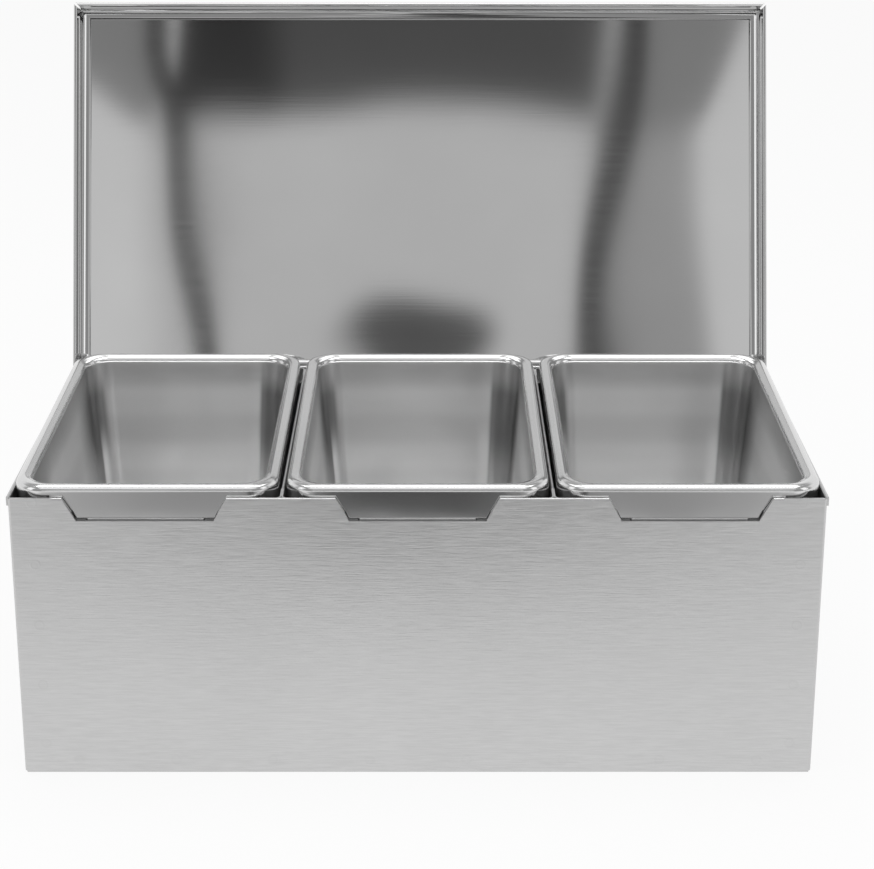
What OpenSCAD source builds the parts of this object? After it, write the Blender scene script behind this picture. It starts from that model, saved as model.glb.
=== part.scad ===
// Condiment caddy: a folded sheet-metal box with three lift-out pans under one hinged lid.
// It stands on z = 0, centred on x = 0 and y = 0, with its front towards -y.
// The lid is drawn open, on its stop.  All lengths are in millimetres.

/* [Box] */
// Width of the box over its side walls
body_w = 318; // [260:1:380]
// Depth of the box over its front and rear walls
body_d = 162; // [130:1:200]
// Height of the box to the tops of its walls
body_h = 119; // [100:1:150]
// Thickness of the box and lid sheet
sheet = 0.8; // [0.6:0.1:1]
// Height of the outward fold along the side walls' top edges
side_hem_h = 4; // [3:0.5:8]
// Width of the side walls' flanges, welded behind the front and rear walls
corner_flange = 15; // [10:1:20]
// Outer radius of the box's upright bends
corner_bend = 1.6; // [1.5:0.1:3]
// Height of the floor's upturned edges
floor_flange = 9; // [5:1:15]

/* [Finger notches] */
// Width of a notch at the top of the front wall
notch_top_w = 64; // [40:1:70]
// Width of a notch at its bottom
notch_bottom_w = 53.5; // [30:0.5:60]
// Depth of a notch below the top of the wall
notch_depth = 8.7; // [7.5:0.1:9.4]
// Width of the folded lip along a notch's bottom
lip_w = 45.3; // [20:0.1:50]
// Height of the folded lip
lip_h = 3; // [2:0.5:4]

/* [Pans] */
// Height of the pan rims above the front wall
rim_front = 2.8; // [2:0.1:5]
// Height of the pan rims above the rear wall, where their ledge sits higher
rim_rear = 6.8; // [3:0.1:7.5]
// Height of the pan rims' outer skirt
rim_skirt = 12.7; // [11:0.1:16]
// Width of the flat rim between skirt and well
rim_flange = 6.5; // [5:0.1:8]
// Corner radius of the rim, seen from above
rim_corner = 12; // [8:0.5:18]
// Radius of the rim's outer edge
rim_bend = 2.4; // [1.5:0.1:3]
// Thickness of the pan sheet
pan_sheet = 0.8; // [0.6:0.1:1]
// Depth of the pans' wells below the rim
pan_depth = 100; // [60:1:100]
// How far each wall of a well leans in from rim to floor
pan_taper = 7; // [2:0.5:12]
// Corner radius of the well at the rim
well_corner = 15; // [10:0.5:20]
// Radius between the well's walls and floor
floor_radius = 10; // [5:0.5:12]
// Clearance from a pan's rim to the divider or side wall beside it
pan_gap = 0.8; // [0.5:0.1:3]
// Clearance from a pan's rim to the folds in front of it and behind it
pan_end_gap = 0.3; // [0.2:0.1:1.5]

/* [Pan rails and dividers] */
// Depth of the ledges that carry the pans
rail_depth = 5.5; // [4:0.1:6.5]
// Height of the rails' upright legs
rail_leg = 12; // [6:0.5:16]
// Thickness of the rails
rail_t = 0.8; // [0.6:0.1:1.2]
// Gap between a seated skirt and its ledge
seat_gap = 0.2; // [0.1:0.05:0.5]
// Gap between the rear wall's folded top edge and the rail below it
hem_gap = 0.2; // [0.1:0.05:1]
// Thickness of a divider, which is one sheet folded double
divider_t = 1.2; // [0.8:0.1:2]
// Width of a divider's end flanges, to each side
divider_flange = 7; // [5:0.5:9]
// Inner radius of the bends into the end flanges
divider_bend = 2.2; // [1:0.1:3]
// How far the dividers stop below the tops of the walls
divider_drop = 0.6; // [0.3:0.1:3]

/* [Lid] */
// Height of the lid's skirts
lid_skirt = 12.5; // [11:0.5:18]
// How far the side skirts' edges stand out past the side walls
lid_side_over = 2.1; // [1.9:0.1:5]
// How far the front skirt's edge stands out past the front wall
lid_front_over = 3.8; // [2.5:0.1:8]
// Outer radius of the bend between the lid's panel and its skirts
lid_bend = 3; // [1.5:0.1:4]
// Outward lean of the front and side skirts in degrees
lid_lean = 6; // [0:1:8]
// Height of the inward fold along the skirts' edges
lid_hem = 5; // [3:0.5:6]
// Slit between two skirts at a corner of the lid
lid_slit = 1; // [0.5:0.1:2]
// Gap between the closed lid's skirts and the tops of the walls
lid_rest_gap = 0.3; // [0.2:0.1:1]
// Angle of the open lid from closed in degrees
open_angle = 108; // [92:1:110]

/* [Hinge] */
// How far the hinge stops short of each side of the box
hinge_inset = 9; // [4:1:60]
// Number of knuckles
knuckles = 23; // [11:2:29]
// Diameter of the hinge pin
pin_d = 2.1; // [1.6:0.1:2.2]
// Radial clearance of the pin in the knuckles
pin_fit = 0.05; // [0.02:0.01:0.1]
// Thickness of the hinge leaves and knuckle walls
leaf_t = 0.8; // [0.6:0.1:0.9]
// Height of the leaf on the rear wall, below the pin
leaf_body_h = 15; // [8:0.5:25]
// Height of the leaf on the lid, above the pin
leaf_lid_h = 9; // [6:0.5:9.5]
// Running gap around and between the knuckles
hinge_gap = 0.3; // [0.2:0.05:0.4]
// Gap left at the open stop, between the lid's rear edge and the leaf
stop_gap = 0.25; // [0.15:0.05:0.4]

/* [Hidden] */
$fn = 64;
HULL_FN = 32;
cut = 1;                    // how far a cutter reaches past what it cuts
PINHEAD_T = 0.8;
PINHEAD_OVER = 0.7;

// Box
half_w = body_w / 2;
half_d = body_d / 2;
in_w = half_w - sheet;                     // inner face of a side wall
in_d = half_d - sheet;                     // inner face of the front or rear wall
face_half = half_w - corner_bend * 0.75;   // half width of the front and rear sheets
hem_half = half_w - corner_flange - 1;     // half length of the hems, rails and floor flanges
pitch = body_w / 3;                        // from one pan to the next

// Pans.  They lean forwards, because the rear ledge is the higher one
pan_w = pitch - divider_t - 2 * pan_gap;
pan_span = body_d - 2 * (2 * sheet + pan_end_gap);   // room between the folds of the two walls
pan_tilt = asin((rim_rear - rim_front) / pan_span);
pan_l = (pan_span - rim_skirt * sin(pan_tilt)) / cos(pan_tilt);
pan_y = (pan_l * cos(pan_tilt) - pan_span) / 2;
pan_z = body_h + rim_front + pan_l / 2 * sin(pan_tilt);
well_w = pan_w - 2 * rim_flange;
well_l = pan_l - 2 * rim_flange;

// Ledges, under the lowest edge of the skirts that they carry
front_ledge = body_h + rim_front - rim_skirt * cos(pan_tilt) - seat_gap;
rear_ledge = front_ledge + (pan_l - rail_depth) * sin(pan_tilt);
hem_h = body_h - rear_ledge - hem_gap;     // height of the inward folds on the front and rear walls

// Hinge: the pin's axis lies just behind the rear wall, level with its top
pin_r = pin_d / 2;
bore_r = pin_r + pin_fit;
knuckle_r = bore_r + leaf_t;
leaf_off = knuckle_r + hinge_gap;          // from the axis to the faces that carry the leaves
hinge_len = body_w - 2 * hinge_inset;
axis_y = half_d + leaf_off;
axis_z = body_h;
knuckle_pitch = hinge_len / knuckles;

// Lid, as it lies when closed
lid_edge_z = body_h + lid_rest_gap;
lid_top = lid_edge_z + lid_skirt;
// A skirt's section: from the bend's centre to the centre of the fold along its edge
bend_in = lid_bend - sheet;
skirt_run = (lid_skirt - lid_bend + bend_in * sin(lid_lean) - sheet) / cos(lid_lean);
fold_x = bend_in * cos(lid_lean) + skirt_run * sin(lid_lean);
skirt_out = fold_x + sheet;
panel_x = half_w + lid_side_over - skirt_out;
panel_front = half_d + lid_front_over - skirt_out;
flange_out = leaf_off + sheet;             // outer face of the lid's rear flange, behind the axis
panel_rear = axis_y + flange_out - lid_bend;
// The rear flange reaches this far below the axis, so that it lands on the leaf at the stop
flange_drop = (flange_out * cos(open_angle) + leaf_off - leaf_t - stop_gap) / sin(open_angle);

// ---------- shared shapes ----------

module round_rect(w, l, r) {
    square([w - 2 * r, l], center = true);
    square([w, l - 2 * r], center = true);
    for (x = [-1, 1], y = [-1, 1])
        translate([x * (w / 2 - r), y * (l / 2 - r)]) circle(r);
}

// A stretch of a bend: a ring between two angles, with its centre at the origin
module bend(r_out, t, from, to) {
    reach = 3 * r_out;
    mid = (from + to) / 2;
    intersection() {
        difference() {
            circle(r_out);
            circle(r_out - t);
        }
        polygon([[0, 0], reach * [cos(from), sin(from)], reach * [cos(mid), sin(mid)],
                 reach * [cos(to), sin(to)]]);
    }
}

// Extrudes a profile drawn in (y, z) along x
module along_x(length) {
    translate([-length / 2, 0, 0]) rotate([90, 0, 90]) linear_extrude(length) children();
}

// Extrudes a profile drawn in (x, z) along y
module along_y(length) {
    translate([0, length / 2, 0]) rotate([90, 0, 0]) linear_extrude(length) children();
}

// ---------- box ----------

// Plate whose top edge is folded over towards +y, drawn in (y, z) with its outer face on y = 0
module hemmed_section(top, fold) {
    square([sheet, top - sheet]);
    translate([sheet, top - sheet]) circle(sheet);
    translate([0, top - fold]) square([2 * sheet, fold - sheet]);
}

module wall_sheet() {
    translate([0, -half_d, 0]) along_x(2 * hem_half) hemmed_section(body_h, hem_h);
    for (side = [-1, 1]) translate([side > 0 ? hem_half - cut : -face_half, -half_d, 0])
        cube([face_half - hem_half + cut, sheet, body_h]);
}

module notch_cut() {
    rotate([90, 0, 0]) linear_extrude(6 * sheet, center = true)
        polygon([[-notch_top_w / 2, body_h], [-notch_bottom_w / 2, body_h - notch_depth],
                 [notch_bottom_w / 2, body_h - notch_depth], [notch_top_w / 2, body_h],
                 [notch_top_w / 2, body_h + cut], [-notch_top_w / 2, body_h + cut]]);
}

module notch_lip() {
    along_x(lip_w) difference() {
        hemmed_section(body_h - notch_depth + sheet, lip_h + sheet);
        translate([-cut, -cut]) square([4 * sheet, body_h - notch_depth - lip_h + cut]);
    }
}

module front_panel() {
    color("silver") {
        difference() {
            wall_sheet();
            for (i = [-1:1]) translate([i * pitch, -half_d, 0]) notch_cut();
        }
        for (i = [-1:1]) translate([i * pitch, -half_d, -sheet]) notch_lip();
    }
}

module rear_panel() {
    color("silver") mirror([0, 1, 0]) wall_sheet();
}

// The right side wall: front and rear flanges behind the panels, top edge folded outwards
module side_wall() {
    bend_y = in_d - corner_bend;
    linear_extrude(body_h - sheet) {
        translate([in_w, -bend_y]) square([sheet, 2 * bend_y]);
        for (end = [-1, 1]) scale([1, end]) {
            translate([half_w - corner_bend, bend_y]) bend(corner_bend, sheet, 0, 90);
            translate([half_w - corner_flange, in_d - sheet])
                square([corner_flange - corner_bend, sheet]);
        }
    }
    along_y(2 * bend_y) {
        translate([half_w, body_h - sheet]) circle(sheet);
        translate([in_w, body_h - side_hem_h]) square([2 * sheet, side_hem_h - sheet]);
    }
}

module right_side_panel() {
    color("gainsboro") side_wall();
}

module left_side_panel() {
    color("gainsboro") mirror([1, 0, 0]) side_wall();
}

module bottom_panel() {
    bend_r = 2 * sheet;
    color("darkgray") {
        linear_extrude(sheet) {
            square([2 * hem_half, 2 * (in_d - bend_r)], center = true);
            square([2 * (in_w - bend_r), 2 * (in_d - sheet)], center = true);
        }
        for (side = [-1, 1]) {
            scale([1, side, 1]) along_x(2 * hem_half) floor_edge(in_d, bend_r);
            scale([side, 1, 1]) along_y(2 * (in_d - corner_flange)) floor_edge(in_w, bend_r);
        }
    }
}

// Upturned edge of the floor, with its outer face at the given distance
module floor_edge(face, bend_r) {
    translate([face - bend_r, bend_r]) bend(bend_r, sheet, 270, 360);
    translate([face - sheet, bend_r]) square([sheet, floor_flange - bend_r]);
}

// ---------- pan rails and dividers ----------

module rail(ledge) {
    translate([0, -in_d, ledge]) along_x(2 * hem_half) {
        translate([0, -rail_t]) square([rail_depth, rail_t]);
        translate([0, -rail_leg]) square([rail_t, rail_leg]);
    }
}

module front_pan_rail() {
    window_h = lip_h + sheet + 0.3;
    color("darkgray") difference() {
        rail(front_ledge);
        for (i = [-1:1])
            translate([i * pitch - lip_w / 2 - 0.5, -in_d - cut, body_h - notch_depth - window_h])
                cube([lip_w + 1, sheet + 0.3 + cut, window_h + cut]);
    }
}

module rear_pan_rail() {
    color("darkgray") mirror([0, 1, 0]) rail(rear_ledge);
}

// A divider's front end: its two sheets part and turn along the wall, with their face at `face`
module divider_end(face, bottom, top) {
    t = divider_t / 2;
    r = divider_bend + t;
    translate([0, 0, bottom]) linear_extrude(top - bottom) for (side = [-1, 1]) scale([side, 1]) {
        translate([r, -face + r]) bend(r, t, 180, 270);
        translate([r, -face]) square([divider_flange - r, t]);
        translate([0, -face + r]) square([t, rail_depth + 2]);
    }
}

module divider() {
    top = body_h - divider_drop;
    bottom = sheet;
    clear = 0.3;
    web_half = in_d - rail_depth - clear;
    body_top = top - divider_t / 2;
    // the web, with its folded edge on top
    translate([-divider_t / 2, -web_half, bottom]) cube([divider_t, 2 * web_half, body_top - bottom]);
    translate([0, web_half, body_top]) rotate([90, 0, 0]) cylinder(r = divider_t / 2, h = 2 * web_half);
    // the ends above and below the pan rails
    for (end = [-1, 1]) scale([1, end, 1]) {
        ledge = end < 0 ? rear_ledge : front_ledge;
        divider_end(in_d - sheet, ledge + clear, top);
        divider_end(in_d, floor_flange + 1, ledge - rail_leg - clear);
    }
}

module left_divider() {
    color("lightgray") translate([-pitch / 2, 0, 0]) divider();
}

module right_divider() {
    color("lightgray") translate([pitch / 2, 0, 0]) divider();
}

// ---------- pans ----------

// A pan is drawn level, centred, with the top of its rim on z = 0

// Skirt, rounded edge and outer part of the flat rim, drawn in (distance from corner axis, z)
module rim_section() {
    translate([rim_corner - pan_sheet, -rim_skirt]) square([pan_sheet, rim_skirt - rim_bend]);
    translate([rim_corner - rim_bend, -rim_bend]) bend(rim_bend, pan_sheet, 0, 90);
    translate([rim_corner - rim_flange, -pan_sheet]) square([rim_flange - rim_bend, pan_sheet]);
}

module rim_ring() {
    corner_x = pan_w / 2 - rim_corner;
    corner_y = pan_l / 2 - rim_corner;
    for (x = [-1, 1], y = [-1, 1])
        scale([x, y, 1]) translate([corner_x, corner_y, 0]) rotate_extrude(angle = 90) rim_section();
    for (side = [-1, 1]) {
        scale([1, side, 1]) translate([0, corner_y, 0]) along_x(2 * corner_x) rim_section();
        scale([side, 1, 1]) translate([corner_x, 0, 0]) along_y(2 * corner_y) rim_section();
    }
}

// The well as a tapered solid; grow is the thickness added to it all round
module well(grow, top) {
    r = floor_radius + grow;
    inset = pan_taper + floor_radius;
    hull() {
        translate([0, 0, -pan_sheet])
            linear_extrude(top) round_rect(well_w + 2 * grow, well_l + 2 * grow, well_corner + grow, $fn = HULL_FN);
        for (x = [-1, 1], y = [-1, 1])
            translate([x * (well_w / 2 - inset), y * (well_l / 2 - inset), floor_radius - pan_depth])
                sphere(r, $fn = HULL_FN);
    }
}

module pan() {
    difference() {
        union() {
            rim_ring();
            translate([0, 0, -pan_sheet]) linear_extrude(pan_sheet)
                round_rect(pan_w - 2 * rim_bend, pan_l - 2 * rim_bend, rim_corner - rim_bend);
            well(pan_sheet, pan_sheet / 2);
        }
        well(0, 2);
    }
}

module seated_pan(x) {
    color("whitesmoke") translate([x, pan_y, pan_z]) rotate([pan_tilt, 0, 0]) pan();
}

module pan_left() {
    seated_pan(-pitch);
}

module pan_middle() {
    seated_pan(0);
}

module pan_right() {
    seated_pan(pitch);
}

// ---------- lid and hinge ----------

// Turns a piece drawn with the lid closed to the open position
module opened() {
    translate([0, axis_y, axis_z]) rotate([-open_angle, 0, 0]) translate([0, -axis_y, -axis_z])
        children();
}

// Points on an arc, from one angle to another
function arc(x, y, r, from, to, steps = 8) =
    [for (i = [0:steps]) let (a = from + (to - from) * i / steps) [x + r * cos(a), y + r * sin(a)]];

// Bend, leaning skirt and folded edge, drawn outwards from the edge of the flat panel
module skirt_section() {
    fold_y = -lid_bend + bend_in * sin(lid_lean) - skirt_run * cos(lid_lean);
    hem_top = (lid_hem - sheet) * [-sin(lid_lean), cos(lid_lean)];
    inward = sheet * [-cos(lid_lean), -sin(lid_lean)];
    polygon(concat(
        [[-lid_bend, 0]],
        arc(0, -lid_bend, lid_bend, 90, lid_lean),
        arc(fold_x, fold_y, sheet, lid_lean, lid_lean - 180),
        [[fold_x, fold_y] + inward + hem_top, [fold_x, fold_y] + hem_top],
        arc(0, -lid_bend, bend_in, lid_lean, 90),
        [[-lid_bend, -sheet]]));
}

module rear_flange_section() {
    translate([-lid_bend, -sheet]) square([lid_bend, sheet]);
    translate([0, -lid_bend]) bend(lid_bend, sheet, 0, 90);
    drop = lid_top - lid_bend - axis_z + flange_drop;
    translate([lid_bend - sheet, -lid_bend - drop]) square([sheet, drop]);
}

// Cutters for a skirt's end, along the diagonal of the lid's corner and half the slit away from it:
// one for a skirt that runs along y, one for a skirt that runs along x
module side_mitre(x, y) {
    reach = 3 * lid_skirt;
    translate([x, y, lid_top - reach]) rotate(45) translate([-reach, -lid_slit / 2, 0])
        cube(2 * reach);
}

module end_mitre(x, y) {
    translate([x, y, 0]) mirror([1, -1, 0]) side_mitre(0, 0);
}

module side_skirt() {
    length = panel_front + panel_rear + 2 * skirt_out;
    difference() {
        translate([panel_x, (panel_rear - panel_front) / 2, lid_top]) along_y(length) skirt_section();
        side_mitre(panel_x, panel_rear);
        mirror([0, 1, 0]) side_mitre(panel_x, panel_front);
    }
}

module end_skirt(edge) {
    difference() {
        translate([0, edge, lid_top]) along_x(2 * (panel_x + skirt_out)) children();
        end_mitre(panel_x, edge);
        mirror([1, 0, 0]) end_mitre(panel_x, edge);
    }
}

module lid() {
    color("lightsteelblue") opened() {
        translate([-panel_x, -panel_front, lid_top - sheet])
            cube([2 * panel_x, panel_front + panel_rear, sheet]);
        mirror([0, 1, 0]) end_skirt(panel_front) skirt_section();
        end_skirt(panel_rear) rear_flange_section();
        side_skirt();
        mirror([1, 0, 0]) side_skirt();
    }
}

// Every second knuckle, from the given one on, each with the tab that joins it to its leaf.
// Drawn in (y, z) with the axis at the origin and the leaf below it on the -y side.
module knuckle_row(first) {
    width = knuckle_pitch - hinge_gap;
    for (i = [first:2:knuckles - 1])
        translate([-hinge_len / 2 + (i + 0.5) * knuckle_pitch, 0, 0]) along_x(width) difference() {
            union() {
                circle(knuckle_r);
                translate([-leaf_off, -leaf_off - cut]) square([leaf_t, leaf_off + cut]);
            }
            circle(bore_r);
        }
}

module leaf(first, height) {
    knuckle_row(first);
    translate([-hinge_len / 2, -leaf_off, -height]) cube([hinge_len, leaf_t, height - leaf_off]);
}

module hinge_body_leaf() {
    color("gray") translate([0, axis_y, axis_z]) leaf(0, leaf_body_h);
}

module hinge_lid_leaf() {
    color("gray") opened() translate([0, axis_y, axis_z]) rotate([180, 0, 0]) leaf(1, leaf_lid_h);
}

module hinge_pin() {
    color("dimgray") translate([-hinge_len / 2 - PINHEAD_T, axis_y, axis_z]) rotate([0, 90, 0]) {
        cylinder(r = pin_r, h = hinge_len + 2 * PINHEAD_T);
        for (end = [0, 1]) translate([0, 0, end * (hinge_len + PINHEAD_T)])
            cylinder(r = pin_r + PINHEAD_OVER, h = PINHEAD_T);
    }
}

front_panel();
rear_panel();
left_side_panel();
right_side_panel();
bottom_panel();
front_pan_rail();
rear_pan_rail();
left_divider();
right_divider();
pan_left();
pan_middle();
pan_right();
lid();
hinge_lid_leaf();
hinge_body_leaf();
hinge_pin();
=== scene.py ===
# Condiment caddy: a folded and spot-welded stainless box that carries three deep-drawn pans,
# under one full-width lid on a knuckle hinge.  All lengths are in metres, in the frame of the
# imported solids: +z up, the front wall with its finger notches faces -y.
import math

import bmesh
import bpy
from mathutils import Matrix, Vector


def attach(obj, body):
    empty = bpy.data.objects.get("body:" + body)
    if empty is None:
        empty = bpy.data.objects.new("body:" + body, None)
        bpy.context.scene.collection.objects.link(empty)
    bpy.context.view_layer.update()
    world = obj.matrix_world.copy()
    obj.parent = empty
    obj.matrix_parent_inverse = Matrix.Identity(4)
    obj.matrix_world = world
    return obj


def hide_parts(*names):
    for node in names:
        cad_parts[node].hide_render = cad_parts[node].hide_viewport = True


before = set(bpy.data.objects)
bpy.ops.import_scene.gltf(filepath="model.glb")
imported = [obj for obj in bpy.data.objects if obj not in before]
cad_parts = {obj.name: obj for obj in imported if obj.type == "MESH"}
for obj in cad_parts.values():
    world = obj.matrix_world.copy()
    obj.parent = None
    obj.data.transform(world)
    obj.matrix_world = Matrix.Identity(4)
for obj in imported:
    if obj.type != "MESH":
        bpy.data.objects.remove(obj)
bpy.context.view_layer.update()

# ---------------------------------------------------------------- camera
# A long lens at eye height over the front wall, a little right of the middle, looking down
# into the pans.  The frame is 874 by 869 pixels; the vertical shift keeps upright edges upright.
FRAME_W = 874
LENS_PX = 2028.6                         # focal length in pixels
AXIS_ROW, MIDDLE_ROW = 323.7, 434.5      # pixel rows of the lens's axis and of the frame's middle
CAMERA_AT = (0.0054, -0.80967, 0.41786)
HEADING, LOOK_DOWN, ROLL = -0.158, 17.374, 0.073      # degrees

lens = bpy.data.cameras.new("lens")
lens.sensor_width = 36.0
lens.lens = LENS_PX / FRAME_W * lens.sensor_width
lens.shift_y = -(MIDDLE_ROW - AXIS_ROW) / FRAME_W
lens.clip_start, lens.clip_end = 0.05, 20.0
camera = bpy.data.objects.new("camera", lens)
bpy.context.scene.collection.objects.link(camera)
camera.matrix_world = (Matrix.Translation(CAMERA_AT)
                       @ Matrix.Rotation(math.radians(HEADING), 4, "Z")
                       @ Matrix.Rotation(math.radians(90.0 - LOOK_DOWN), 4, "X")
                       @ Matrix.Rotation(math.radians(ROLL), 4, "Z"))
bpy.context.scene.camera = camera
bpy.context.scene.view_settings.view_transform = "Standard"


# ---------------------------------------------------------------- box walls
# Front, rear and side walls of 0.8 mm stainless sheet with a fine grain along their length.
# The front and rear walls fold over inwards at the top, the side walls outwards; flanges
# behind the upright corners are spot-welded, which leaves rows of faint round marks.
PITCH = 0.106                            # from one notch, and one pan, to the next
WALL_EDGE = 0.00025                      # rounding of the walls' cut edges
SAME_POINT, SAME_FACE = 2.0e-6, 0.4      # metres, degrees
NOTCH_LIP_HALF = 0.028                   # the folded lip under each notch: half its width, the
NOTCH_LIP_FROM, NOTCH_LIP_TO = 0.1, 0.1115       # heights it lies between
NOTCH_LIP_DROP = 0.0009                  # and how far it is lowered
STREAKS_FROM, STREAKS_TO = 0.3, 0.7      # the part of the streaks' range that shows
WELD_COLUMN, NO_COLUMN = 0.1495, 0.2     # from the middle of a wall; the second lies off the wall
WELD_ROW, WELD_PITCH, WELD_R = 0.0055, 0.026, 0.0021


def finish_copy(node, name, rounding, body, corner=32.0):
    """A welded copy of a sheet part in place of the plain one.

    Its cut edges are rounded where they turn by more than the corner, in degrees."""
    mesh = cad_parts[node].data.copy()
    mesh.name = name
    shape = bmesh.new()
    shape.from_mesh(mesh)
    bmesh.ops.remove_doubles(shape, verts=shape.verts, dist=SAME_POINT)
    bmesh.ops.dissolve_limit(shape, angle_limit=math.radians(SAME_FACE),
                             use_dissolve_boundaries=False, verts=shape.verts, edges=shape.edges)
    shape.to_mesh(mesh)
    shape.free()
    if mesh.attributes.get("custom_normal"):
        mesh.attributes.remove(mesh.attributes["custom_normal"])
    for face in mesh.polygons:
        face.use_smooth = True
    piece = bpy.data.objects.new(name, mesh)
    bpy.context.scene.collection.objects.link(piece)
    bevel = piece.modifiers.new("rounded edges", "BEVEL")
    bevel.width = rounding
    bevel.segments = 2
    bevel.limit_method = "ANGLE"
    bevel.angle_limit = math.radians(corner)
    bevel.use_clamp_overlap = True
    even = piece.modifiers.new("even shading", "WEIGHTED_NORMAL")
    even.mode = "FACE_AREA"
    even.weight = 50
    even.keep_sharp = True
    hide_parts(node)
    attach(piece, body)
    return piece


def coat(piece, finish):
    """Gives a piece one material in place of the plain one."""
    piece.data.materials.clear()
    piece.data.materials.append(finish)


def feed(tree, socket, value):
    """Sets a socket to a number or a vector, or links it to another node's output."""
    if isinstance(value, (int, float, tuple)):
        socket.default_value = value
    else:
        tree.links.new(value, socket)


def math_node(tree, operation, a, b=None):
    node = tree.nodes.new("ShaderNodeMath")
    node.operation = operation
    feed(tree, node.inputs[0], a)
    if b is not None:
        feed(tree, node.inputs[1], b)
    return node.outputs[0]


def plus(tree, a, b):
    return math_node(tree, "ADD", a, b)


def minus(tree, a, b):
    return math_node(tree, "SUBTRACT", a, b)


def times(tree, a, b):
    return math_node(tree, "MULTIPLY", a, b)


def distance(tree, a, b):
    """How far a point lies from the origin, with a and b as its coordinates."""
    return math_node(tree, "SQRT", plus(tree, times(tree, a, a), times(tree, b, b)))


def mixed(tree, share, a, b):
    """From a to b as the share goes from 0 to 1."""
    node = tree.nodes.new("ShaderNodeMix")
    for label, value in (("Factor", share), ("A", a), ("B", b)):
        feed(tree, node.inputs[label], value)
    return node.outputs["Result"]


def spread(tree, value, low, high, to_low, to_high):
    """Maps low..high onto to_low..to_high, with soft ends."""
    node = tree.nodes.new("ShaderNodeMapRange")
    node.interpolation_type = "SMOOTHSTEP"
    for label, given in (("Value", value), ("From Min", low), ("From Max", high),
                         ("To Min", to_low), ("To Max", to_high)):
        feed(tree, node.inputs[label], given)
    return node.outputs["Result"]


def rising(tree, value, low, high):
    return spread(tree, value, low, high, 0.0, 1.0)


def falling(tree, value, low, high):
    return spread(tree, value, low, high, 1.0, 0.0)


def place_of(tree):
    """Where the shaded point lies in its own piece, so that patterns move with the piece."""
    return tree.nodes.new("ShaderNodeTexCoord").outputs["Object"]


def split(tree, vector):
    """The X, Y and Z outputs of a vector."""
    parts = tree.nodes.new("ShaderNodeSeparateXYZ")
    tree.links.new(vector, parts.inputs[0])
    return parts.outputs


def stretched(tree, vector, stretch):
    node = tree.nodes.new("ShaderNodeVectorMath")
    node.operation = "MULTIPLY"
    tree.links.new(vector, node.inputs[0])
    feed(tree, node.inputs[1], stretch)
    return node.outputs[0]


def noise(tree, vector, scale, detail=2.0, roughness=0.5):
    node = tree.nodes.new("ShaderNodeTexNoise")
    for label, value in (("Vector", vector), ("Scale", scale), ("Detail", detail),
                         ("Roughness", roughness)):
        feed(tree, node.inputs[label], value)
    return node.outputs["Fac"]


def tint(tree, share, a, b):
    """Colour from a to b, each a grey from 0 to 1 or another node's output."""
    node = tree.nodes.new("ShaderNodeMix")
    node.data_type = "RGBA"
    tree.links.new(share, node.inputs["Factor"])
    for label, value in (("A", a), ("B", b)):
        colour = (value, value, value, 1.0) if isinstance(value, float) else value
        feed(tree, node.inputs[label], colour)
    return node.outputs["Result"]


def bump(tree, height, depth, below=None):
    node = tree.nodes.new("ShaderNodeBump")
    node.inputs["Distance"].default_value = depth
    node.inputs["Strength"].default_value = 1.0
    tree.links.new(height, node.inputs["Height"])
    if below is not None:
        tree.links.new(below, node.inputs["Normal"])
    return node.outputs["Normal"]


def new_group(name, inputs, outputs):
    """An empty shader group with inputs {name: number or vector} and number outputs."""
    group = bpy.data.node_groups.new(name, "ShaderNodeTree")
    for label, value in inputs.items():
        kind = "NodeSocketVector" if isinstance(value, tuple) else "NodeSocketFloat"
        socket = group.interface.new_socket(name=label, in_out="INPUT", socket_type=kind)
        socket.default_value = value
    for label in outputs:
        group.interface.new_socket(name=label, in_out="OUTPUT", socket_type="NodeSocketFloat")
    return group, group.nodes.new("NodeGroupInput"), group.nodes.new("NodeGroupOutput")


def sheet_grain_group():
    """The brush's or the roll's straight scratches: a fine height, and broader streaks."""
    group, given, out = new_group("sheet grain", {"Stretch": (20.0, 2000.0, 2000.0)},
                                  ("Height", "Streaks"))
    drawn_out = stretched(group, place_of(group), given.outputs["Stretch"])
    fine = noise(group, drawn_out, 1.0)
    broad = noise(group, drawn_out, 0.42, roughness=0.6)
    feed(group, out.inputs["Height"], plus(group, fine, times(group, broad, 0.6)))
    feed(group, out.inputs["Streaks"],
         plus(group, times(group, broad, 0.5), times(group, fine, 0.5)))
    return group


def handling_group():
    """What use leaves on steel: soft clouded patches."""
    group, given, out = new_group("handling marks", {"Cloud size": 14.0}, ("Clouds",))
    cloud = noise(group, place_of(group), given.outputs["Cloud size"], detail=3.0)
    feed(group, out.inputs["Clouds"], rising(group, cloud, 0.35, 0.7))
    return group


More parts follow.
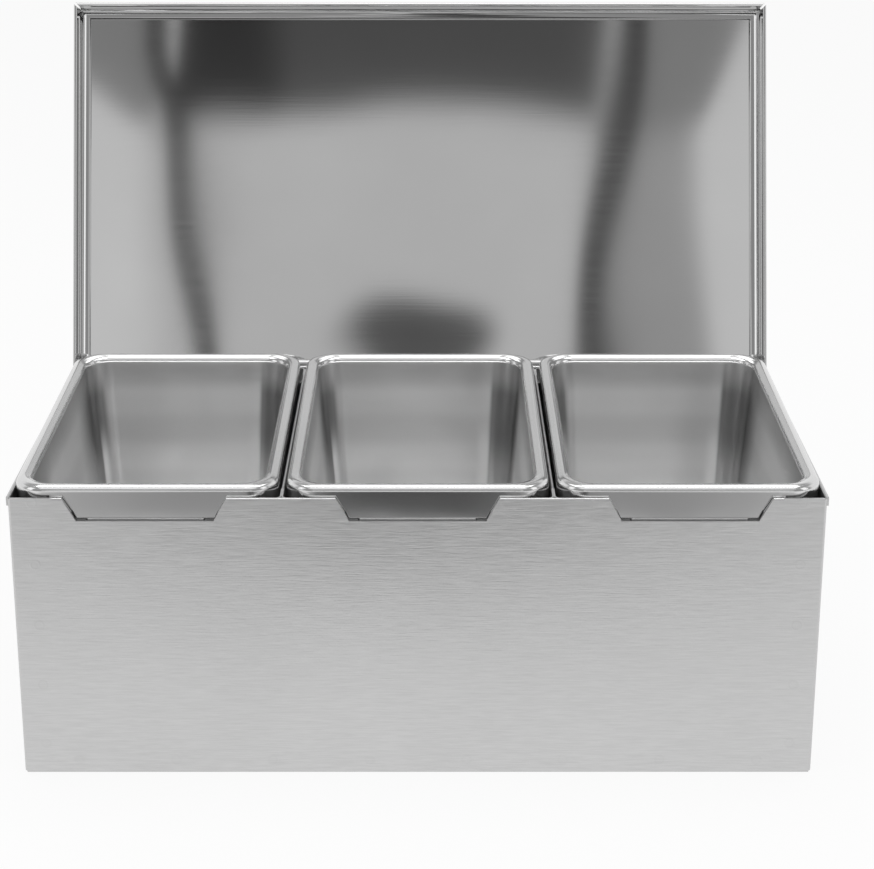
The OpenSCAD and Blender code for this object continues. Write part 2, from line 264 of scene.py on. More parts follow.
def weld_rows_group():
    """Spot-weld marks: shallow rings along the upright flanges and along the bottom edge."""
    group, given, out = new_group(
        "weld rows", {"Across": 0.0, "Column": WELD_COLUMN, "Row": WELD_ROW,
                      "Pitch": WELD_PITCH, "Radius": WELD_R}, ("Marks",))
    parts = split(group, place_of(group))
    # Across 0: the wall runs along x; Across 1: it runs along y
    along = mixed(group, given.outputs["Across"], parts["X"], parts["Y"])

    def cell(value, pitch):
        return minus(group, math_node(group, "FLOORED_MODULO", value, pitch),
                     times(group, pitch, 0.5))

    def ring(a, b):
        near = math_node(group, "DIVIDE", distance(group, a, b), given.outputs["Radius"])
        return times(group, spread(group, near, 0.55, 0.85, 0.25, 1.0),
                     falling(group, near, 0.85, 1.15))

    beside = minus(group, math_node(group, "ABSOLUTE", along), given.outputs["Column"])
    column = ring(beside, cell(parts["Z"], given.outputs["Pitch"]))
    row = ring(cell(along, times(group, given.outputs["Pitch"], 1.5)),
               minus(group, parts["Z"], given.outputs["Row"]))
    feed(group, out.inputs["Marks"], math_node(group, "MAXIMUM", column, row))
    return group


sheet_grain = sheet_grain_group()
handling_marks = handling_group()
weld_rows = weld_rows_group()


def place_group(tree, group, **values):
    node = tree.nodes.new("ShaderNodeGroup")
    node.node_tree = group
    for label, value in values.items():
        node.inputs[label.replace("_", " ")].default_value = value
    return node.outputs


def streaky(tree, grain, low, high):
    """A value that follows the grain's streaks from low to high."""
    return spread(tree, grain["Streaks"], STREAKS_FROM, STREAKS_TO, low, high)


def new_steel(name, metallic=1.0):
    """A metal with its Principled shader, ready for the maps of a finish."""
    material = bpy.data.materials.new(name)
    material.use_nodes = True
    shader = material.node_tree.nodes["Principled BSDF"]
    shader.inputs["Metallic"].default_value = metallic
    return material, material.node_tree, shader.inputs


def brushed_wall(name, stretch, across, column):
    """Brushed sheet with its weld marks; clouds and welds make it a little duller."""
    material, tree, shader = new_steel(name)
    grain = place_group(tree, sheet_grain, Stretch=stretch)
    clouds = place_group(tree, handling_marks, Cloud_size=11.0)["Clouds"]
    welds = place_group(tree, weld_rows, Across=across, Column=column)["Marks"]
    feed(tree, shader["Base Color"], tint(tree, streaky(tree, grain, 0.0, 1.0), 0.56, 0.64))
    rough = plus(tree, streaky(tree, grain, 0.3, 0.4), times(tree, clouds, 0.05))
    feed(tree, shader["Roughness"], plus(tree, rough, times(tree, welds, 0.08)))
    scratches = bump(tree, grain["Height"], 6.0e-5)
    feed(tree, shader["Normal"], bump(tree, welds, 2.5e-5, below=scratches))
    return material


wall_finish = brushed_wall("brushed steel front", (120.0, 2000.0, 2000.0), 0.0, WELD_COLUMN)
side_finish = brushed_wall("brushed steel side", (2000.0, 120.0, 2000.0), 1.0, NO_COLUMN)
for node, finish in (("front_panel", wall_finish), ("rear_panel", wall_finish),
                     ("left_side_panel", side_finish), ("right_side_panel", side_finish)):
    wall = finish_copy(node, node.replace("_panel", "_wall"), WALL_EDGE, "box")
    if node == "front_panel":
        for v in wall.data.vertices:
            beside = min(abs(v.co.x - x) for x in (-PITCH, 0.0, PITCH))
            if beside < NOTCH_LIP_HALF and NOTCH_LIP_FROM < v.co.z < NOTCH_LIP_TO:
                v.co.z -= NOTCH_LIP_DROP
    coat(wall, finish)


# ---------------------------------------------------------------- floor, ledges and dividers
# Plain mill-finish sheet: the floor with its turned-up edges, the two angle ledges that carry
# the pans, and the dividers, each one sheet folded double and split into flanges at its ends.
FINE_EDGE = 0.00012                      # rounding of thin sheet's cut edges


def rolled_steel(name, stretch, cloud_size, greys, roughness, depth, metallic=1.0, waves=None):
    """Rolled sheet: colour from soft clouds, gloss and height from the grain, over any waves."""
    material, tree, shader = new_steel(name, metallic)
    grain = place_group(tree, sheet_grain, Stretch=stretch)
    clouds = place_group(tree, handling_marks, Cloud_size=cloud_size)["Clouds"]
    feed(tree, shader["Base Color"], tint(tree, clouds, *greys))
    feed(tree, shader["Roughness"], streaky(tree, grain, *roughness))
    below = None
    if waves:
        wave_stretch, wave_depth = waves
        wavy = noise(tree, stretched(tree, place_of(tree), wave_stretch), 1.0, detail=1.0)
        below = bump(tree, wavy, wave_depth)
    feed(tree, shader["Normal"], bump(tree, grain["Height"], depth, below))
    return material


inner_finish = rolled_steel("mill finish steel", (900.0, 900.0, 900.0), 16.0, (0.54, 0.6),
                            (0.3, 0.42), 1.5e-5, metallic=0.8)
for node, name in (("bottom_panel", "bottom_plate"),
                   ("front_pan_rail", "front_ledge"), ("rear_pan_rail", "rear_ledge"),
                   ("left_divider", "left_folded_divider"),
                   ("right_divider", "right_folded_divider")):
    coat(finish_copy(node, name, FINE_EDGE, "box"), inner_finish)


# ---------------------------------------------------------------- pans
# Three deep-drawn pans, each one sheet: a rounded rim with a deep skirt that sits on the ledges,
# and a tapered well with large corner radii.  The wells are satin, the rims polished.
PAN_W, PAN_L = 0.1032, 0.15793
PAN_TILT = math.asin(2.8 / 158.2)        # the rim rises 2.8 mm over the 158.2 mm between the folds
PAN_Y, PAN_Z = -0.0002, 0.12439          # middle of the rim's top
PAN_SHEET = 0.0008
RIM_FLANGE, RIM_CORNER, RIM_BEND = 0.0057, 0.012, 0.0023
RIM_LIP = 0.0027                         # radius between the flat rim and the well
RIM_SKIRT, SKIRT_SLANT = 0.0127, 0.0012
EDGE_SWEEP = 78.0                        # degrees of the outer bend before the crown begins
LIP_FROM, LIP_SWEEP = 12.0, 74.0         # degrees of the lip, from the crown to the well
CROWN_MIDDLE, CROWN_HALF, CROWN_RISE = 0.0027, 0.0014, 0.00012
WELL_CORNER, WELL_FLOOR_CORNER, WELL_TAPER = 0.0115, 0.008, 0.0075
WELL_DEPTH, FLOOR_BEND = 0.1, 0.01
FLOOR_INSETS = (0.004, 0.012)            # rings on the flat floor, in from the end of its bend
UNDER_LIP, UNDER_EDGE, UNDER_RIM = 0.0003, 0.0004, 0.0012      # where the underside turns
CORNER_STEPS, SIDE_STEPS, RIM_RINGS = 16, 12, 23
QUARTER_STEPS = CORNER_STEPS + SIDE_STEPS
# how far each step along a side lies from the nearer corner, where 3 steps count as 1
SIDE_RUNS = [min(step, SIDE_STEPS - step) / 3.0 for step in range(SIDE_STEPS)]
LEFT_SHADE_SHIFT, LEFT_HIGHLIGHT_SHIFT = 0.16, 0.45      # how much further round the left corners the painted shade and the painted highlight reach


def arc(start, sweep, steps):
    """Angles in radians from start over the sweep, both in degrees, in equal steps."""
    return [math.radians(start + sweep * step / steps) for step in range(steps + 1)]


def pan_ring(half_w, half_l, corner, z):
    """Points round a rounded rectangle, anticlockwise from above."""
    points = []
    corner = min(corner, half_w, half_l)
    for turn in range(4):
        cx = (half_w - corner) * (1 if turn in (0, 3) else -1)
        cy = (half_l - corner) * (1 if turn in (0, 1) else -1)
        for step in range(CORNER_STEPS + 1):
            a = math.radians(90.0 * (turn + step / CORNER_STEPS))
            points.append(Vector((cx + corner * math.cos(a), cy + corner * math.sin(a), z)))
        start = Vector([(half_w - corner, half_l), (-half_w, half_l - corner),
                        (-half_w + corner, -half_l), (half_w, -half_l + corner)][turn])
        stop = Vector([(-half_w + corner, half_l), (-half_w, -half_l + corner),
                       (half_w - corner, -half_l), (half_w, half_l - corner)][turn])
        for step in range(1, SIDE_STEPS):
            points.append(Vector((*start.lerp(stop, step / SIDE_STEPS), z)))
    return points


def pan_rings():
    """Rings from the skirt's lower edge over the rim and down the well, then back underneath."""
    half_w, half_l = PAN_W / 2, PAN_L / 2
    well_w, well_l = half_w - RIM_FLANGE, half_l - RIM_FLANGE
    bend_top = WELL_DEPTH - FLOOR_BEND
    quarter = arc(0.0, 90.0, 8)
    rings = []

    def rim(inset, z):
        share = min(max((inset - 0.001) / (RIM_FLANGE - 0.001), 0.0), 1.0)
        ease = (WELL_CORNER - RIM_CORNER + RIM_FLANGE) * share * share * (3 - 2 * share)
        rings.append(pan_ring(half_w - inset, half_l - inset, RIM_CORNER - inset + ease, z))

    def well(depth, grow, inset=0.0):
        share = min(depth / bend_top, 1.0)
        lean = WELL_TAPER * share + inset - grow
        corner = WELL_CORNER + (WELL_FLOOR_CORNER - WELL_CORNER) * share - inset + grow
        rings.append(pan_ring(well_w - lean, well_l - lean, max(corner, 1e-5), -depth))

    for z in (-RIM_SKIRT, -RIM_SKIRT * 0.97, -RIM_SKIRT * 0.8, -RIM_SKIRT * 0.5, -RIM_BEND * 1.15):
        rim(0.0, z)
    for a in arc(0.0, EDGE_SWEEP, 8):
        rim(RIM_BEND * (1 - math.cos(a)), -RIM_BEND * (1 - math.sin(a)))
    for step in (-0.5, 0.0, 0.5):
        rim(CROWN_MIDDLE + CROWN_HALF * step, CROWN_RISE * (1 - step * step))
    for a in arc(LIP_FROM, LIP_SWEEP, 6):
        rim(RIM_FLANGE - RIM_LIP + RIM_LIP * math.sin(a), -RIM_LIP * (1 - math.cos(a)))
    for depth in (0.004, 0.01, 0.02, 0.035, 0.05, 0.065, 0.08, bend_top):
        well(depth, 0.0)
    for a in quarter[1:]:
        well(WELL_DEPTH - FLOOR_BEND * (1 - math.sin(a)), 0.0, FLOOR_BEND * (1 - math.cos(a)))
    for inset in FLOOR_INSETS:
        well(WELL_DEPTH, 0.0, FLOOR_BEND + inset)
    inner = len(rings)
    for inset in reversed(FLOOR_INSETS):
        well(WELL_DEPTH + PAN_SHEET, 0.0, FLOOR_BEND + inset)
    r = FLOOR_BEND + PAN_SHEET
    for a in reversed(quarter):
        well(bend_top + r * math.sin(a), PAN_SHEET, r * (1 - math.cos(a)))
    for depth in (0.08, 0.05, 0.02, PAN_SHEET + UNDER_RIM):
        well(depth, PAN_SHEET)
    rim(RIM_FLANGE - PAN_SHEET - UNDER_LIP, -PAN_SHEET)
    rim(RIM_BEND + UNDER_EDGE, -PAN_SHEET)
    r = RIM_BEND - PAN_SHEET
    for a in reversed(quarter):
        rim(PAN_SHEET + r * (1 - math.cos(a)), -RIM_BEND + r * math.sin(a))
    for z in (-RIM_SKIRT * 0.5, -RIM_SKIRT * 0.97, -RIM_SKIRT):
        rim(PAN_SHEET, z)
    return rings, inner


def drawn_pan(name, node, x, finish):
    """One pan, with attributes that say where its sheet is polished, round a corner and deep."""
    rings, inner = pan_rings()
    mesh = bpy.data.meshes.new(name)
    shape = bmesh.new()
    polish, facing, left, depth = [shape.verts.layers.float.new(label)
                                   for label in ("polish", "facing", "left", "depth")]
    loops = []
    for index, ring in enumerate(rings):
        # the skirt reaches down to two ledges of unequal height
        if ring[0].z < -RIM_SKIRT * 0.96 and (index < RIM_RINGS or index > len(rings) - 3):
            ring = [p - Vector((0.0, 0.0, SKIRT_SLANT * (0.5 - p.y / PAN_L))) for p in ring]
        verts = [shape.verts.new(p) for p in ring]
        for k, v in enumerate(verts):
            quarter, step = divmod(k, QUARTER_STEPS)
            turn = math.radians(90.0 * (quarter + min(step / CORNER_STEPS, 1.0)))
            # facing goes from 0 to 1 round each corner, then within 3 steps on to 2 along the
            # end wall beside it, and down to -1 along the side wall
            past = min(SIDE_RUNS[step - CORNER_STEPS], 1.0) if step > CORNER_STEPS else 0.0
            beside = 1.0 + past if quarter in (0, 2) else -past
            v[polish] = 1.0 if index < RIM_RINGS else 0.0
            v[facing] = beside if past else abs(math.sin(turn))
            v[left] = 1.0 if v.co.x < 0 else 0.0
            v[depth] = -v.co.z / WELL_DEPTH
        loops.append(verts)
    count = len(loops[0])
    for a, b in zip(loops, loops[1:] + loops[:1]):
        if a is loops[inner - 1]:
            continue
        for k in range(count):
            shape.faces.new((a[k], a[(k + 1) % count], b[(k + 1) % count], b[k]))
    shape.faces.new(loops[inner - 1])
    shape.faces.new(reversed(loops[inner]))
    bmesh.ops.remove_doubles(shape, verts=shape.verts, dist=1e-7)
    bmesh.ops.recalc_face_normals(shape, faces=shape.faces)
    shape.transform(Matrix.Translation((x, PAN_Y, PAN_Z)) @ Matrix.Rotation(PAN_TILT, 4, "X"))
    for face in shape.faces:
        face.smooth = True
    shape.to_mesh(mesh)
    shape.free()
    mesh.set_sharp_from_angle(angle=math.radians(50.0))
    pan = bpy.data.objects.new(name, mesh)
    bpy.context.scene.collection.objects.link(pan)
    mesh.materials.append(finish)
    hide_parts(node)
    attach(pan, node)


def attribute(tree, name):
    node = tree.nodes.new("ShaderNodeAttribute")
    node.attribute_name = name
    return node.outputs["Fac"]


def satin_pan_finish():
    material, tree, shader = new_steel("satin drawn steel")
    polish, facing, left, depth = [attribute(tree, label)
                                   for label in ("polish", "facing", "left", "depth")]
    grain = place_group(tree, sheet_grain, Stretch=(700.0, 700.0, 700.0))
    clouds = place_group(tree, handling_marks, Cloud_size=22.0)["Clouds"]
    # painted shade round the drawn corners, dark beside the side walls where they mirror dark
    # surroundings, and a painted highlight low down beside the end walls
    shade_reach = plus(tree, facing, times(tree, left, LEFT_SHADE_SHIFT))
    painted_corner_shade = times(tree, rising(tree, shade_reach, -0.9, 0.2), falling(tree, shade_reach, 0.97, 1.12))
    painted_corner_shade = times(tree, painted_corner_shade, spread(tree, depth, 0.05, 0.18, 0.35, 1.0))
    painted_corner_shade = times(tree, painted_corner_shade, spread(tree, depth, 0.35, 0.62, 1.0, 0.5))
    highlight_reach = plus(tree, facing, times(tree, left, LEFT_HIGHLIGHT_SHIFT))
    painted_corner_highlight = times(tree, rising(tree, highlight_reach, 0.98, 1.1),
                       falling(tree, highlight_reach, 1.16, 1.45))
    painted_corner_highlight = times(tree, painted_corner_highlight, spread(tree, depth, 0.28, 0.52, 0.1, 1.0))
    # painted reflection bands down the well, and painted shade in a darker band under the rim
    rings = math_node(tree, "SINE", minus(tree, times(tree, depth, 24.0), 0.37))
    satin = times(tree, spread(tree, depth, 0.02, 0.17, 0.0, 0.94),
                  spread(tree, rings, -1.0, 1.0, 1.0, 0.78))
    colour = tint(tree, satin, 0.5, 0.98)
    # the corners' painted shade and painted highlight, then the polished rim's own grey
    for mask, grey in ((painted_corner_shade, 0.27), (painted_corner_highlight, 1.0), (polish, 0.7)):
        colour = tint(tree, mask, colour, grey)
    feed(tree, shader["Base Color"], colour)
    # the rim's skirt is more polished than its top
    skirt = spread(tree, depth, 0.012, 0.03, 1.0, 0.6)
    rim_rough = times(tree, spread(tree, clouds, 0.0, 1.0, 0.15, 0.19), skirt)
    feed(tree, shader["Roughness"],
         mixed(tree, polish, streaky(tree, grain, 0.28, 0.34), rim_rough))
    # the blasted satin scatters part of the light as a matt surface does, and more where the
    # corners' highlight is painted
    feed(tree, shader["Metallic"], minus(tree, spread(tree, polish, 0.0, 1.0, 0.84, 1.0),
                                         times(tree, painted_corner_highlight, 0.75)))
    scratches = bump(tree, times(tree, grain["Height"], falling(tree, polish, 0.0, 1.0)), 1.5e-5)
    wavy = times(tree, noise(tree, place_of(tree), 28.0, detail=1.0),
                 spread(tree, polish, 0.0, 1.0, 1.0, 0.15))
    feed(tree, shader["Normal"], bump(tree, wavy, 0.0016, below=scratches))
    return material


pan_finish = satin_pan_finish()
for side, node in ((-1, "pan_left"), (0, "pan_middle"), (1, "pan_right")):
    drawn_pan(node + "_drawn", node, side * PITCH, pan_finish)


# ---------------------------------------------------------------- lid
# One bright-annealed sheet with its skirts bent at 90 degrees and hemmed inwards; the corners are
# cut on the diagonal and left open.  The flat panel is a little wavy, as thin sheet is.
HINGE_Y, HINGE_Z, OPEN_ANGLE = 0.0832, 0.119, 108.0
BEND, SHEET, SKIRT_LEAN, SLIT = 0.003, 0.0008, 6.0, 0.000707
SOFT_BEND = 0.0055                       # outer radius of the rolled bend beside the panel
CUT_FADE = 0.4                           # radians of the bend over which a corner's cut opens
CUT_REACH = 0.001                        # how near to a corner a point belongs to its cut
WIDE_FACE, TIP_ANGLE = 0.01, 0.2         # square metres, radians
MARGIN = 0.002                           # share of the way from a wide face's edge to its centre


def hinge_turn(angle):
    """A turn about the hinge's axis."""
    axis = Vector((0.0, HINGE_Y, HINGE_Z))
    return (Matrix.Translation(axis) @ Matrix.Rotation(math.radians(angle), 4, "X")
            @ Matrix.Translation(-axis))


def soften_bends(mesh):
    """Gives the front and side bends a larger radius, and closes the cuts up to the skirts."""
    closed = [hinge_turn(OPEN_ANGLE) @ v.co for v in mesh.vertices]
    top = max(c.z for c in closed)
    flat = [c for c in closed if c.z > top - 1e-6]
    side, front = max(abs(c.x) for c in flat), max(-c.y for c in flat)
    lean = math.radians(SKIRT_LEAN)
    shift = (BEND - SOFT_BEND + (SOFT_BEND - BEND) * math.sin(lean)) / math.cos(lean)

    def on_bend(out, down):
        """The radius and angle of a point of the bend's section, or nothing."""
        radius, turn = math.hypot(out, down + BEND), math.atan2(down + BEND, out)
        near = min(abs(radius - BEND), abs(radius - BEND + SHEET)) < 8e-6
        return (radius, turn) if near and out > -1e-5 and turn > lean - 0.02 else None

    def moved(radius, turn):
        radius += SOFT_BEND - BEND
        return shift + radius * math.cos(turn), radius * math.sin(turn) - SOFT_BEND

    for v, c in zip(mesh.vertices, closed):
        x, y = abs(c.x), -c.y
        at_side, at_front = on_bend(x - side, c.z - top), on_bend(y - front, c.z - top)
        if not (at_side or at_front):
            continue
        radius, turn = at_side or at_front
        out, down = moved(radius, turn)
        open_cut = SLIT * max(0.0, 1.0 - (turn - lean) / CUT_FADE)
        if at_side:
            x = side + out
        if at_front:
            y = front + out
        if at_side and not at_front and y > front - CUT_REACH:
            y = front + out - open_cut
        if at_front and not at_side and x > side - CUT_REACH:
            x = side + out - open_cut
        v.co = hinge_turn(-OPEN_ANGLE) @ Vector((math.copysign(x, c.x), -y, top + down))


def even_panels(mesh):
    """Draws in the tips of the two wide faces, and leaves a narrow margin round a flat middle."""
    shape = bmesh.new()
    shape.from_mesh(mesh)
    for wide in [face for face in shape.faces if face.calc_area() > WIDE_FACE]:
        around = list(wide.verts)
        # its outline runs out along the rear bend and straight back again
        for k, v in enumerate(around):
            before = around[k - 1].co - v.co
            after = around[(k + 1) % len(around)].co - v.co
            if min(before.length, after.length) > 1e-4 and before.angle(after) < TIP_ANGLE:
                v.co += min(before, after, key=lambda step: step.length)
    bmesh.ops.remove_doubles(shape, verts=shape.verts, dist=1e-5)
    for wide in [face for face in shape.faces if face.calc_area() > WIDE_FACE]:
        centre, around = wide.calc_center_bounds(), list(wide.verts)
        inner = [shape.verts.new(v.co.lerp(centre, MARGIN)) for v in around]
        for k in range(len(around)):
            n = (k + 1) % len(around)
            shape.faces.new((around[k], around[n], inner[n], inner[k])).smooth = True
        shape.faces.new(inner).smooth = False
        shape.faces.remove(wide)
    shape.to_mesh(mesh)
    shape.free()


lid = finish_copy("lid", "hinged_lid", FINE_EDGE, "lid", corner=40.0)
soften_bends(lid.data)
even_panels(lid.data)
coat(lid, rolled_steel("bright annealed steel", (40.0, 2200.0, 2200.0), 9.0, (0.6, 0.64),
                       (0.048, 0.054), 6.0e-7, waves=((8.0, 5.0, 5.0), 0.0008)))


# ---------------------------------------------------------------- hinge
# A continuous hinge: two leaves of thin sheet, each rolled into every other knuckle.  The
# knuckles interlock round one plain pin with turned-over ends.
LEAF_LENGTH, KNUCKLES, KNUCKLE_GAP = 0.3, 23, 0.0003
KNUCKLE_PITCH = LEAF_LENGTH / KNUCKLES
KNUCKLE_R, BORE_R = 0.0019, 0.0011
LEAF_OFF, LEAF_T = 0.0022, 0.0008        # from the axis to a leaf's outer face, and its thickness
BOX_LEAF_H, LID_LEAF_H = 0.015, 0.009
ROLL_STEPS = 28
ROLL_FROM, LEAF_LAP = -0.0003, 0.0001    # where the roll begins, and how far it laps the leaf


def swept(section, length, name):
    """A closed body: a section in (y, z) carried along x, the same to both sides."""
    mesh = bpy.data.meshes.new(name)
    shape = bmesh.new()
    ends = [[shape.verts.new((x, y, z)) for y, z in section] for x in (-length / 2, length / 2)]
    for k in range(len(section)):
        n = (k + 1) % len(section)
        shape.faces.new((ends[0][k], ends[0][n], ends[1][n], ends[1][k]))
    for end in ends:
        shape.faces.new(end)
    bmesh.ops.recalc_face_normals(shape, faces=shape.faces)
    around = [e for e in shape.edges if abs(e.verts[0].co.x - e.verts[1].co.x) < 1e-9]
    bmesh.ops.bevel(shape, geom=around, offset=FINE_EDGE, segments=2, affect="EDGES", profile=0.5)
    for face in shape.faces:
        face.smooth = True
    shape.to_mesh(mesh)
    shape.free()
    mesh.set_sharp_from_angle(angle=math.radians(38.0))
    thing = bpy.data.objects.new(name, mesh)
    bpy.context.scene.collection.objects.link(thing)
    return thing


def rolled_section():
    """The leaf's sheet rolled round the pin, with the seam where its edge meets the leaf again."""
    def on(radius, a):
        return radius * math.cos(a), radius * math.sin(a)
    outer = [on(KNUCKLE_R, a) for a in arc(165.0, -287.0, ROLL_STEPS)]
    inner = [on(BORE_R, a) for a in arc(-122.0, 344.0, ROLL_STEPS)]
    seam = on(KNUCKLE_R, math.radians(222.5))
    leaf_edge = -LEAF_OFF - LEAF_LAP
    return ([(-LEAF_OFF, leaf_edge), (-LEAF_OFF, ROLL_FROM)] + outer + inner
            + [seam, (-LEAF_OFF + LEAF_T, leaf_edge)])


def knuckle_row_tree():
    """Places a knuckle at equal steps along x and joins the row to its leaf."""
    rows = bpy.data.node_groups.new("knuckle row", "GeometryNodeTree")
    sockets = {}
    for label, kind in (("Leaf", "Geometry"), ("Knuckle", "Object"), ("Count", "Int"),
                        ("First", "Float"), ("Step", "Float"), ("Steel", "Material")):
        sockets[label] = rows.interface.new_socket(name=label, in_out="INPUT",
                                                   socket_type="NodeSocket" + kind).identifier
    rows.interface.new_socket(name="Hinge leaf", in_out="OUTPUT", socket_type="NodeSocketGeometry")
    given = rows.nodes.new("NodeGroupInput").outputs
    out = rows.nodes.new("NodeGroupOutput").inputs
    line = rows.nodes.new("GeometryNodeMeshLine")
    line.mode = "OFFSET"
    for label, socket in (("First", "Start Location"), ("Step", "Offset")):
        along_x = rows.nodes.new("ShaderNodeCombineXYZ")
        feed(rows, along_x.inputs["X"], given[label])
        feed(rows, line.inputs[socket], along_x.outputs[0])
    knuckle = rows.nodes.new("GeometryNodeObjectInfo")
    place = rows.nodes.new("GeometryNodeInstanceOnPoints")
    real = rows.nodes.new("GeometryNodeRealizeInstances")
    join = rows.nodes.new("GeometryNodeJoinGeometry")
    steel = rows.nodes.new("GeometryNodeSetMaterial")
    for socket, value in ((line.inputs["Count"], given["Count"]),
                          (knuckle.inputs["Object"], given["Knuckle"]),
                          (place.inputs["Points"], line.outputs["Mesh"]),
                          (place.inputs["Instance"], knuckle.outputs["Geometry"]),
                          (real.inputs["Geometry"], place.outputs["Instances"]),
                          (join.inputs["Geometry"], real.outputs["Geometry"]),
                          (join.inputs["Geometry"], given["Leaf"]),
                          (steel.inputs["Geometry"], join.outputs["Geometry"]),
                          (steel.inputs["Material"], given["Steel"]),
                          (out["Hinge leaf"], steel.outputs["Geometry"])):
        feed(rows, socket, value)
    return rows, sockets


hinge_steel = rolled_steel("hinge steel", (60.0, 1200.0, 1200.0), 40.0, (0.45, 0.55),
                           (0.28, 0.42), 1.5e-5)
knuckle_rows, row_sockets = knuckle_row_tree()
knuckle = swept(rolled_section(), KNUCKLE_PITCH - KNUCKLE_GAP, "knuckle")
for node, name, body, first, height, turn in (
        ("hinge_body_leaf", "hinge_leaf_on_box", "box", 0, BOX_LEAF_H, 0.0),
        ("hinge_lid_leaf", "hinge_leaf_on_lid", "lid", 1, LID_LEAF_H, 180.0 - OPEN_ANGLE)):
    plate = [(-LEAF_OFF, -height), (-LEAF_OFF + LEAF_T, -height), (-LEAF_OFF + LEAF_T, -LEAF_OFF),
             (-LEAF_OFF, -LEAF_OFF)]
    leaf = swept(plate, LEAF_LENGTH, name)
    rows = leaf.modifiers.new("knuckles", "NODES")
    rows.node_group = knuckle_rows
    for label, value in (("Knuckle", knuckle), ("Count", (KNUCKLES + 1 - first) // 2),
                         ("First", -LEAF_LENGTH / 2 + (first + 0.5) * KNUCKLE_PITCH),
                         ("Step", 2 * KNUCKLE_PITCH), ("Steel", hinge_steel)):
        rows[row_sockets[label]] = value
    bpy.context.view_layer.update()
    evaluated = leaf.evaluated_get(bpy.context.evaluated_depsgraph_get())
    whole = bpy.data.meshes.new_from_object(evaluated)
    leaf.modifiers.remove(rows)
    whole.transform(Matrix.Translation((0.0, HINGE_Y, HINGE_Z))
                    @ Matrix.Rotation(math.radians(turn), 4, "X"))
    whole.name = name
    leaf.data = whole
    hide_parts(node)
    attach(leaf, body)
bpy.data.objects.remove(knuckle)
coat(finish_copy("hinge_pin", "turned_hinge_pin", 0.0002, "box", corner=50.0),
     hinge_steel)


# ---------------------------------------------------------------- table and light
# A pale table top under plain soft studio light: one broad lamp above, one over the front and
# one to each side.  The polished sheet mirrors the dim end of the room behind the camera, with
# its dark cloth, its stands and its ceiling.
TABLE_HALF = 6.0
LAMPS_AIM = (0.0, 0.0, 0.1)
TO_DEGREES = 180.0 / math.pi
CLOTH_LEFT, CLOTH_RIGHT = -7.65, 5.25    # bearings of the hanging cloth's upright edges
STAND_FOOT, STAND_TOP = 4.0, 32.0        # heights between which the stands show


def between(tree, value, low, high, soft):
    """1 between low and high, falling to 0 over a soft edge on either side."""
    return times(tree, rising(tree, value, low - soft, low + soft),
                 falling(tree, value, high - soft, high + soft))


def leaning(tree, value, other, at, slope):
    """A value that grows by the slope for each degree that the other lies past `at`."""
    return plus(tree, value, times(tree, minus(tree, other, at), slope))


def ray_kinds(tree):
    """Whether a ray comes straight from the camera, and whether it comes off polished metal."""
    path = tree.nodes.new("ShaderNodeLightPath").outputs
    return path["Is Camera Ray"], math_node(tree, "MAXIMUM", path["Is Glossy Ray"],
                                            path["Is Transmission Ray"])


def pale_top():
    """A matt top that glows evenly where it is seen; polished metal mirrors a dark mat in front."""
    material = bpy.data.materials.new("pale table top")
    material.use_nodes = True
    tree = material.node_tree
    shader = tree.nodes["Principled BSDF"]
    shader.inputs["Base Color"].default_value = (0.9, 0.9, 0.9, 1.0)
    shader.inputs["Roughness"].default_value = 0.9
    parts = split(tree, place_of(tree))
    darker_middle = mixed(tree, between(tree, parts["X"], -0.07, 0.06, 0.04),
                          times(tree, between(tree, parts["X"], -0.24, 0.24, 0.12), 0.75), 1.0)
    mat = times(tree, between(tree, parts["Y"], -1.0, -0.306, 0.012), darker_middle)
    from_camera, mirrored = ray_kinds(tree)
    mirrored_mat = times(tree, mat, mirrored)
    glow = tree.nodes.new("ShaderNodeEmission")
    feed(tree, glow.inputs["Strength"], mixed(tree, mirrored_mat, 1.0, 0.1))
    seen = math_node(tree, "MAXIMUM", from_camera, mirrored)
    blend = tree.nodes.new("ShaderNodeMixShader")
    feed(tree, blend.inputs[0], mixed(tree, mirrored_mat, times(tree, seen, 0.9), 1.0))
    feed(tree, blend.inputs[1], shader.outputs[0])
    feed(tree, blend.inputs[2], glow.outputs[0])
    feed(tree, tree.nodes["Material Output"].inputs["Surface"], blend.outputs[0])
    return material


table_mesh = bpy.data.meshes.new("table_top")
table_mesh.from_pydata([(x * TABLE_HALF, y * TABLE_HALF, 0.0)
                        for x, y in ((-1, -1), (1, -1), (1, 1), (-1, 1))], [], [(0, 1, 2, 3)])
table_mesh.materials.append(pale_top())
table_top = bpy.data.objects.new("table_top", table_mesh)
bpy.context.scene.collection.objects.link(table_top)

for name, size, place, radiance in (("lamp_above", (1.2, 0.6), (0.0, 0.12, 1.35), 2.6),
                                    ("lamp_front", (1.4, 0.8), (0.0, -0.95, 1.55), 0.7),
                                    ("lamp_left", (0.5, 1.0), (-1.2, -0.7, 0.75), 1.0),
                                    ("lamp_right", (0.5, 1.0), (1.2, -0.7, 0.75), 1.0)):
    lamp = bpy.data.lights.new(name, "AREA")
    lamp.shape = "RECTANGLE"
    lamp.size, lamp.size_y = size
    lamp.energy = radiance * math.pi * size[0] * size[1]
    holder = bpy.data.objects.new(name, lamp)
    bpy.context.scene.collection.objects.link(holder)
    holder.location = place
    toward = Vector(LAMPS_AIM) - Vector(place)
    holder.rotation_euler = toward.to_track_quat("-Z", "Y").to_euler()

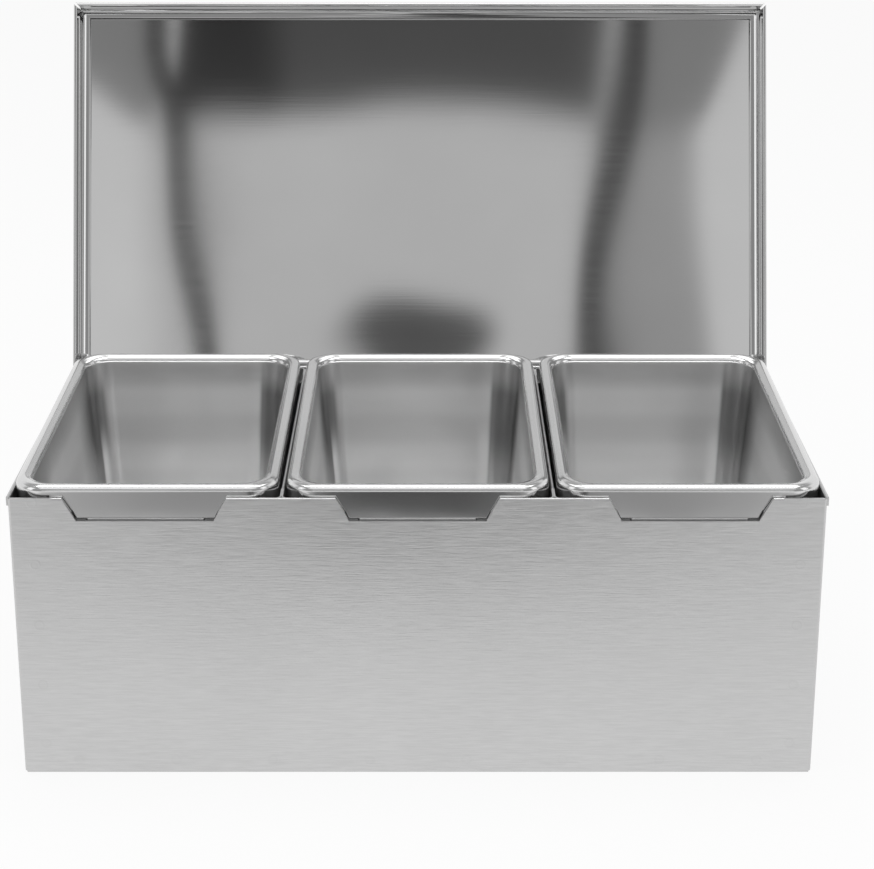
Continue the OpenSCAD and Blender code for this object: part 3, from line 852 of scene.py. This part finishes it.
# the room in degrees: bearing from straight in front, growing to the right, and height
world = bpy.data.worlds.new("studio")
bpy.context.scene.world = world
world.use_nodes = True
tree = world.node_tree
room = tree.nodes["Background"]
room.inputs["Color"].default_value = (1.0, 1.0, 1.0, 1.0)
parts = split(tree, tree.nodes.new("ShaderNodeTexCoord").outputs["Generated"])
to_front = times(tree, parts["Y"], -1.0)
bearing = times(tree, math_node(tree, "ARCTAN2", parts["X"], to_front), TO_DEGREES)
height = times(tree, math_node(tree, "ARCSINE", parts["Z"]), TO_DEGREES)
# the dark cloth over the camera, its lower edge hanging in a shallow arch
middle = plus(tree, bearing, 0.2)
hang = plus(tree, height, times(tree, times(tree, middle, middle), 0.026))
cloth = between(tree, hang, 25.1, 34.0, 0.6)
drape = between(tree, bearing, CLOTH_LEFT, CLOTH_RIGHT, 0.12)
cloth_level = mixed(tree, between(tree, bearing, -8.0, -4.8, 0.6), 0.1, 0.04)
# the dim ceiling beside it, whose edges run up to the left and the right
ceiling = math_node(tree, "MINIMUM",
                    rising(tree, leaning(tree, height, bearing, -8.3, 0.7), 23.1, 23.9),
                    rising(tree, leaning(tree, height, bearing, 7.86, -1.6), 22.5, 23.1))
ceiling = times(tree, ceiling, rising(tree, height, 23.2, 24.4))
ceiling = times(tree, ceiling, times(tree, falling(tree, height, 32.0, 36.0),
                                     between(tree, bearing, -24.0, 24.0, 5.0)))
# two stands, each leaning a little, and the camera
stand = between(tree, height, STAND_FOOT, STAND_TOP, 2.0)
left_stand = plus(tree, leaning(tree, bearing, height, 18.0, 0.11),
                  spread(tree, height, 23.4, 26.0, 0.0, 0.75))
right_stand = leaning(tree, bearing, height, 22.0, -0.1)
from_lens = distance(tree, times(tree, plus(tree, bearing, 0.6), 0.5), minus(tree, height, 18.2))

level = 0.95
for mask, shade in (
        # the front half of the room, and in its middle a pale wall with dimmer bays
        (between(tree, bearing, -85.0, 85.0, 8.0), 0.36),
        (between(tree, bearing, -13.5, 13.5, 1.5), 0.8),
        (between(tree, bearing, -8.2, 8.2, 0.6), 0.67),
        (between(tree, bearing, 5.6, 8.2, 0.5), 0.42),
        (times(tree, ceiling, minus(tree, 1.0, drape)), 0.29),
        # the cloth, with a bright gap to either side, and the stands
        (times(tree, cloth, drape), cloth_level),
        (times(tree, cloth, between(tree, bearing, -8.2, CLOTH_LEFT, 0.12)), 0.55),
        (times(tree, cloth, between(tree, bearing, CLOTH_RIGHT, 5.75, 0.12)), 0.5),
        (times(tree, between(tree, left_stand, -7.12, -6.42, 0.12), stand), 0.05),
        (times(tree, between(tree, right_stand, 5.25, 6.15, 0.2), stand), 0.05),
        # the ceiling's diffusers, high over the front, and the camera
        (between(tree, height, 42.0, 80.0, 6.0), 0.42),
        (falling(tree, from_lens, 0.7, 1.5), 0.1)):
    level = mixed(tree, mask, level, shade)
from_camera, mirrored = ray_kinds(tree)
feed(tree, room.inputs["Strength"],
     mixed(tree, mirrored, mixed(tree, from_camera, 0.55, 1.0), level))
